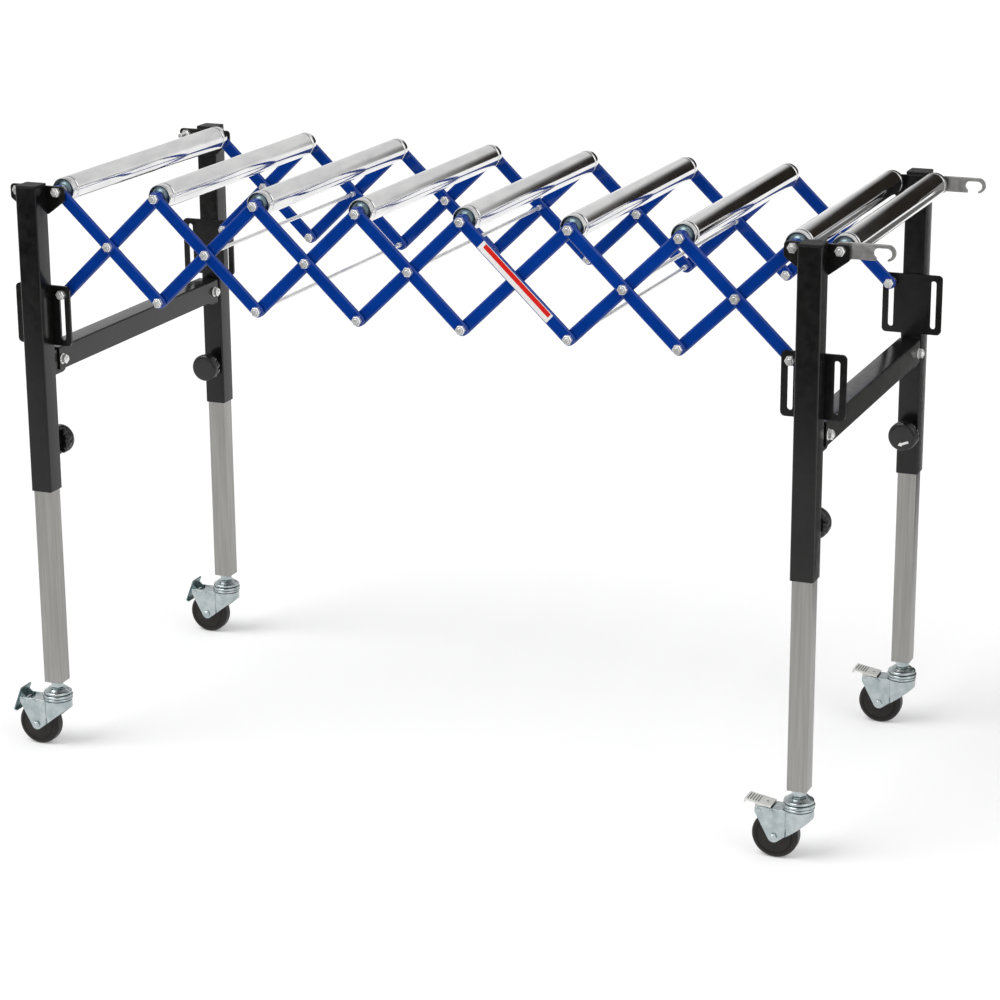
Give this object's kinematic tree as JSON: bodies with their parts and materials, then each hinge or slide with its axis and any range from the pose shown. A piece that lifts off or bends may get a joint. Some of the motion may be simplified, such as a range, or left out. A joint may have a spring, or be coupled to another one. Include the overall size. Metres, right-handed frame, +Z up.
{
  "type": "flexible roller conveyor",
  "caption": "Folding roller conveyor: steel rollers on a blue scissor frame between two black stands with telescopic legs, clamp knobs, braked swivel casters and coupling hooks.",
  "frame": {"origin": "on the floor below the middle of the conveyor's overall length and width", "axes": "+X along the conveyor from the stud end to the hook end, +Y from the front side to the back side, +Z up"},
  "size_m": [1.4125, 0.629, 0.915],
  "materials": {
    "black_paint": "gloss",
    "blue_paint": "gloss",
    "zinc": "satin",
    "leg_zinc": "satin",
    "roller_steel": "gloss",
    "caster_zinc": "gloss",
    "pedal_zinc": "satin",
    "hook_steel": "satin",
    "wheel_rubber": "semi-gloss",
    "knob_plastic": "matte"
  },
  "bodies": {
    "left_stand": {"left_posts": "black_paint", "left_plates": "black_paint", "left_rail": "black_paint", "left_fasteners": "zinc"},
    "right_stand": {"right_posts": "black_paint", "right_plates": "black_paint", "right_rail": "black_paint", "right_fasteners": "zinc"},
    "falling_1": {"falling_bars_1": "blue_paint", "pivots_1": "zinc"},
    "rising_1": {"rising_bars_1": "blue_paint"},
    "falling_2": {"falling_bars_2": "blue_paint", "pivots_2": "zinc"},
    "rising_2": {"rising_bars_2": "blue_paint"},
    "falling_3": {"falling_bars_3": "blue_paint", "pivots_3": "zinc"},
    "rising_3": {"rising_bars_3": "blue_paint"},
    "falling_4": {"falling_bars_4": "blue_paint", "pivots_4": "zinc"},
    "rising_4": {"rising_bars_4": "blue_paint"},
    "falling_5": {"falling_bars_5": "blue_paint", "pivots_5": "zinc"},
    "rising_5": {"rising_bars_5": "blue_paint"},
    "falling_6": {"falling_bars_6": "blue_paint", "pivots_6": "zinc"},
    "rising_6": {"rising_bars_6": "blue_paint"},
    "falling_7": {"falling_bars_7": "blue_paint", "pivots_7": "zinc"},
    "rising_7": {"rising_bars_7": "blue_paint"},
    "roller_1": {"roller_1": "roller_steel"},
    "roller_2": {"roller_2": "roller_steel"},
    "roller_3": {"roller_3": "roller_steel"},
    "roller_4": {"roller_4": "roller_steel"},
    "roller_5": {"roller_5": "roller_steel"},
    "roller_6": {"roller_6": "roller_steel"},
    "roller_7": {"roller_7": "roller_steel"},
    "roller_8": {"roller_8": "roller_steel"},
    "roller_9": {"roller_9": "roller_steel"},
    "leg_front_left": {"leg_front_left": "leg_zinc"},
    "knob_front_left": {"knob_front_left": "knob_plastic"},
    "fork_front_left": {"fork_front_left": "caster_zinc"},
    "wheel_front_left": {"wheel_front_left": "wheel_rubber"},
    "pedal_front_left": {"pedal_front_left": "pedal_zinc"},
    "leg_back_left": {"leg_back_left": "leg_zinc"},
    "knob_back_left": {"knob_back_left": "knob_plastic"},
    "fork_back_left": {"fork_back_left": "caster_zinc"},
    "wheel_back_left": {"wheel_back_left": "wheel_rubber"},
    "pedal_back_left": {"pedal_back_left": "pedal_zinc"},
    "leg_front_right": {"leg_front_right": "leg_zinc"},
    "knob_front_right": {"knob_front_right": "knob_plastic"},
    "fork_front_right": {"fork_front_right": "caster_zinc"},
    "wheel_front_right": {"wheel_front_right": "wheel_rubber"},
    "pedal_front_right": {"pedal_front_right": "pedal_zinc"},
    "leg_back_right": {"leg_back_right": "leg_zinc"},
    "knob_back_right": {"knob_back_right": "knob_plastic"},
    "fork_back_right": {"fork_back_right": "caster_zinc"},
    "wheel_back_right": {"wheel_back_right": "wheel_rubber"},
    "pedal_back_right": {"pedal_back_right": "pedal_zinc"},
    "hook_front": {"hook_front": "hook_steel"},
    "hook_back": {"hook_back": "hook_steel"}
  },
  "joints": [
    {"name": "fold", "type": "hinge", "parent": "left_stand", "child": "falling_1", "pos_m": [-0.59798, 0, 0.896], "axis": [0, 1, 0], "range_deg": [0, 35.5]},
    {"name": "cross_pivot_1", "type": "hinge", "parent": "falling_1", "child": "rising_1", "pos_m": [-0.51497, 0, 0.8164], "axis": [0, 1, 0], "range_deg": [-71, 0]},
    {"name": "top_pivot_2", "type": "hinge", "parent": "rising_1", "child": "falling_2", "pos_m": [-0.43197, 0, 0.896], "axis": [0, 1, 0], "range_deg": [0, 71]},
    {"name": "cross_pivot_2", "type": "hinge", "parent": "falling_2", "child": "rising_2", "pos_m": [-0.34897, 0, 0.8164], "axis": [0, 1, 0], "range_deg": [-71, 0]},
    {"name": "top_pivot_3", "type": "hinge", "parent": "rising_2", "child": "falling_3", "pos_m": [-0.26598, 0, 0.896], "axis": [0, 1, 0], "range_deg": [0, 71]},
    {"name": "cross_pivot_3", "type": "hinge", "parent": "falling_3", "child": "rising_3", "pos_m": [-0.18297, 0, 0.8164], "axis": [0, 1, 0], "range_deg": [-71, 0]},
    {"name": "top_pivot_4", "type": "hinge", "parent": "rising_3", "child": "falling_4", "pos_m": [-0.09997, 0, 0.896], "axis": [0, 1, 0], "range_deg": [0, 71]},
    {"name": "cross_pivot_4", "type": "hinge", "parent": "falling_4", "child": "rising_4", "pos_m": [-0.01698, 0, 0.8164], "axis": [0, 1, 0], "range_deg": [-71, 0]},
    {"name": "top_pivot_5", "type": "hinge", "parent": "rising_4", "child": "falling_5", "pos_m": [0.06603, 0, 0.896], "axis": [0, 1, 0], "range_deg": [0, 71]},
    {"name": "cross_pivot_5", "type": "hinge", "parent": "falling_5", "child": "rising_5", "pos_m": [0.14902, 0, 0.8164], "axis": [0, 1, 0], "range_deg": [-71, 0]},
    {"name": "top_pivot_6", "type": "hinge", "parent": "rising_5", "child": "falling_6", "pos_m": [0.23203, 0, 0.896], "axis": [0, 1, 0], "range_deg": [0, 71]},
    {"name": "cross_pivot_6", "type": "hinge", "parent": "falling_6", "child": "rising_6", "pos_m": [0.31502, 0, 0.8164], "axis": [0, 1, 0], "range_deg": [-71, 0]},
    {"name": "top_pivot_7", "type": "hinge", "parent": "rising_6", "child": "falling_7", "pos_m": [0.39803, 0, 0.896], "axis": [0, 1, 0], "range_deg": [0, 71]},
    {"name": "cross_pivot_7", "type": "hinge", "parent": "falling_7", "child": "rising_7", "pos_m": [0.48102, 0, 0.8164], "axis": [0, 1, 0], "range_deg": [-71, 0]},
    {"name": "right_stand_pivot", "type": "hinge", "parent": "rising_7", "child": "right_stand", "pos_m": [0.56402, 0, 0.896], "axis": [0, 1, 0], "range_deg": [0, 35.5]},
    {"name": "roller_1_spin", "type": "hinge", "parent": "falling_1", "child": "roller_1", "pos_m": [-0.59798, 0, 0.896], "axis": [0, 1, 0], "continuous": true},
    {"name": "roller_2_spin", "type": "hinge", "parent": "falling_2", "child": "roller_2", "pos_m": [-0.43197, 0, 0.896], "axis": [0, 1, 0], "continuous": true},
    {"name": "roller_3_spin", "type": "hinge", "parent": "falling_3", "child": "roller_3", "pos_m": [-0.26598, 0, 0.896], "axis": [0, 1, 0], "continuous": true},
    {"name": "roller_4_spin", "type": "hinge", "parent": "falling_4", "child": "roller_4", "pos_m": [-0.09997, 0, 0.896], "axis": [0, 1, 0], "continuous": true},
    {"name": "roller_5_spin", "type": "hinge", "parent": "falling_5", "child": "roller_5", "pos_m": [0.06603, 0, 0.896], "axis": [0, 1, 0], "continuous": true},
    {"name": "roller_6_spin", "type": "hinge", "parent": "falling_6", "child": "roller_6", "pos_m": [0.23203, 0, 0.896], "axis": [0, 1, 0], "continuous": true},
    {"name": "roller_7_spin", "type": "hinge", "parent": "falling_7", "child": "roller_7", "pos_m": [0.39803, 0, 0.896], "axis": [0, 1, 0], "continuous": true},
    {"name": "roller_8_spin", "type": "hinge", "parent": "right_stand", "child": "roller_8", "pos_m": [0.56402, 0, 0.896], "axis": [0, 1, 0], "continuous": true},
    {"name": "roller_9_spin", "type": "hinge", "parent": "right_stand", "child": "roller_9", "pos_m": [0.63102, 0, 0.896], "axis": [0, 1, 0], "continuous": true},
    {"name": "leg_front_left_slide", "type": "slide", "parent": "left_stand", "child": "leg_front_left", "axis": [0, 0, 1], "range_m": [-0.065, 0.275]},
    {"name": "knob_front_left_turn", "type": "hinge", "parent": "left_stand", "child": "knob_front_left", "pos_m": [-0.63148, -0.2905, 0.497], "axis": [0, 1, 0], "range_deg": [0, 360]},
    {"name": "fork_front_left_swivel", "type": "hinge", "parent": "leg_front_left", "child": "fork_front_left", "pos_m": [-0.63148, -0.2905, 0.088], "axis": [0, 0, 1], "continuous": true},
    {"name": "wheel_front_left_spin", "type": "hinge", "parent": "fork_front_left", "child": "wheel_front_left", "pos_m": [-0.66448, -0.2905, 0.035], "axis": [0, 1, 0], "continuous": true},
    {"name": "pedal_front_left_press", "type": "hinge", "parent": "fork_front_left", "child": "pedal_front_left", "pos_m": [-0.68747, -0.2905, 0.0735], "axis": [0, 1, 0], "range_deg": [0, 79]},
    {"name": "leg_back_left_slide", "type": "slide", "parent": "left_stand", "child": "leg_back_left", "axis": [0, 0, 1], "range_m": [-0.065, 0.275]},
    {"name": "knob_back_left_turn", "type": "hinge", "parent": "left_stand", "child": "knob_back_left", "pos_m": [-0.63148, 0.2905, 0.497], "axis": [0, -1, 0], "range_deg": [0, 360]},
    {"name": "fork_back_left_swivel", "type": "hinge", "parent": "leg_back_left", "child": "fork_back_left", "pos_m": [-0.63148, 0.2905, 0.088], "axis": [0, 0, 1], "continuous": true},
    {"name": "wheel_back_left_spin", "type": "hinge", "parent": "fork_back_left", "child": "wheel_back_left", "pos_m": [-0.66448, 0.2905, 0.035], "axis": [0, 1, 0], "continuous": true},
    {"name": "pedal_back_left_press", "type": "hinge", "parent": "fork_back_left", "child": "pedal_back_left", "pos_m": [-0.68747, 0.2905, 0.0735], "axis": [0, 1, 0], "range_deg": [0, 79]},
    {"name": "leg_front_right_slide", "type": "slide", "parent": "right_stand", "child": "leg_front_right", "axis": [0, 0, 1], "range_m": [-0.065, 0.275]},
    {"name": "knob_front_right_turn", "type": "hinge", "parent": "right_stand", "child": "knob_front_right", "pos_m": [0.59752, -0.2905, 0.497], "axis": [0, 1, 0], "range_deg": [0, 360]},
    {"name": "fork_front_right_swivel", "type": "hinge", "parent": "leg_front_right", "child": "fork_front_right", "pos_m": [0.59752, -0.2905, 0.088], "axis": [0, 0, 1], "continuous": true},
    {"name": "wheel_front_right_spin", "type": "hinge", "parent": "fork_front_right", "child": "wheel_front_right", "pos_m": [0.56453, -0.2905, 0.035], "axis": [0, 1, 0], "continuous": true},
    {"name": "pedal_front_right_press", "type": "hinge", "parent": "fork_front_right", "child": "pedal_front_right", "pos_m": [0.54153, -0.2905, 0.0735], "axis": [0, 1, 0], "range_deg": [-79, 0]},
    {"name": "leg_back_right_slide", "type": "slide", "parent": "right_stand", "child": "leg_back_right", "axis": [0, 0, 1], "range_m": [-0.065, 0.275]},
    {"name": "knob_back_right_turn", "type": "hinge", "parent": "right_stand", "child": "knob_back_right", "pos_m": [0.59752, 0.2905, 0.497], "axis": [0, -1, 0], "range_deg": [0, 360]},
    {"name": "fork_back_right_swivel", "type": "hinge", "parent": "leg_back_right", "child": "fork_back_right", "pos_m": [0.59752, 0.2905, 0.088], "axis": [0, 0, 1], "continuous": true},
    {"name": "wheel_back_right_spin", "type": "hinge", "parent": "fork_back_right", "child": "wheel_back_right", "pos_m": [0.56453, 0.2905, 0.035], "axis": [0, 1, 0], "continuous": true},
    {"name": "pedal_back_right_press", "type": "hinge", "parent": "fork_back_right", "child": "pedal_back_right", "pos_m": [0.54153, 0.2905, 0.0735], "axis": [0, 1, 0], "range_deg": [-79, 0]},
    {"name": "hook_front_swing", "type": "hinge", "parent": "right_stand", "child": "hook_front", "pos_m": [0.63102, -0.2645, 0.896], "axis": [0, 1, 0], "range_deg": [-90, 90]},
    {"name": "hook_back_swing", "type": "hinge", "parent": "right_stand", "child": "hook_back", "pos_m": [0.63102, 0.2645, 0.896], "axis": [0, 1, 0], "range_deg": [-90, 90]}
  ],
  "couplings": [
    {"joint": "cross_pivot_1", "follows": "fold", "ratio": -2},
    {"joint": "top_pivot_2", "follows": "fold", "ratio": 2},
    {"joint": "cross_pivot_2", "follows": "fold", "ratio": -2},
    {"joint": "top_pivot_3", "follows": "fold", "ratio": 2},
    {"joint": "cross_pivot_3", "follows": "fold", "ratio": -2},
    {"joint": "top_pivot_4", "follows": "fold", "ratio": 2},
    {"joint": "cross_pivot_4", "follows": "fold", "ratio": -2},
    {"joint": "top_pivot_5", "follows": "fold", "ratio": 2},
    {"joint": "cross_pivot_5", "follows": "fold", "ratio": -2},
    {"joint": "top_pivot_6", "follows": "fold", "ratio": 2},
    {"joint": "cross_pivot_6", "follows": "fold", "ratio": -2},
    {"joint": "top_pivot_7", "follows": "fold", "ratio": 2},
    {"joint": "cross_pivot_7", "follows": "fold", "ratio": -2},
    {"joint": "right_stand_pivot", "follows": "fold", "ratio": 1}
  ]
}
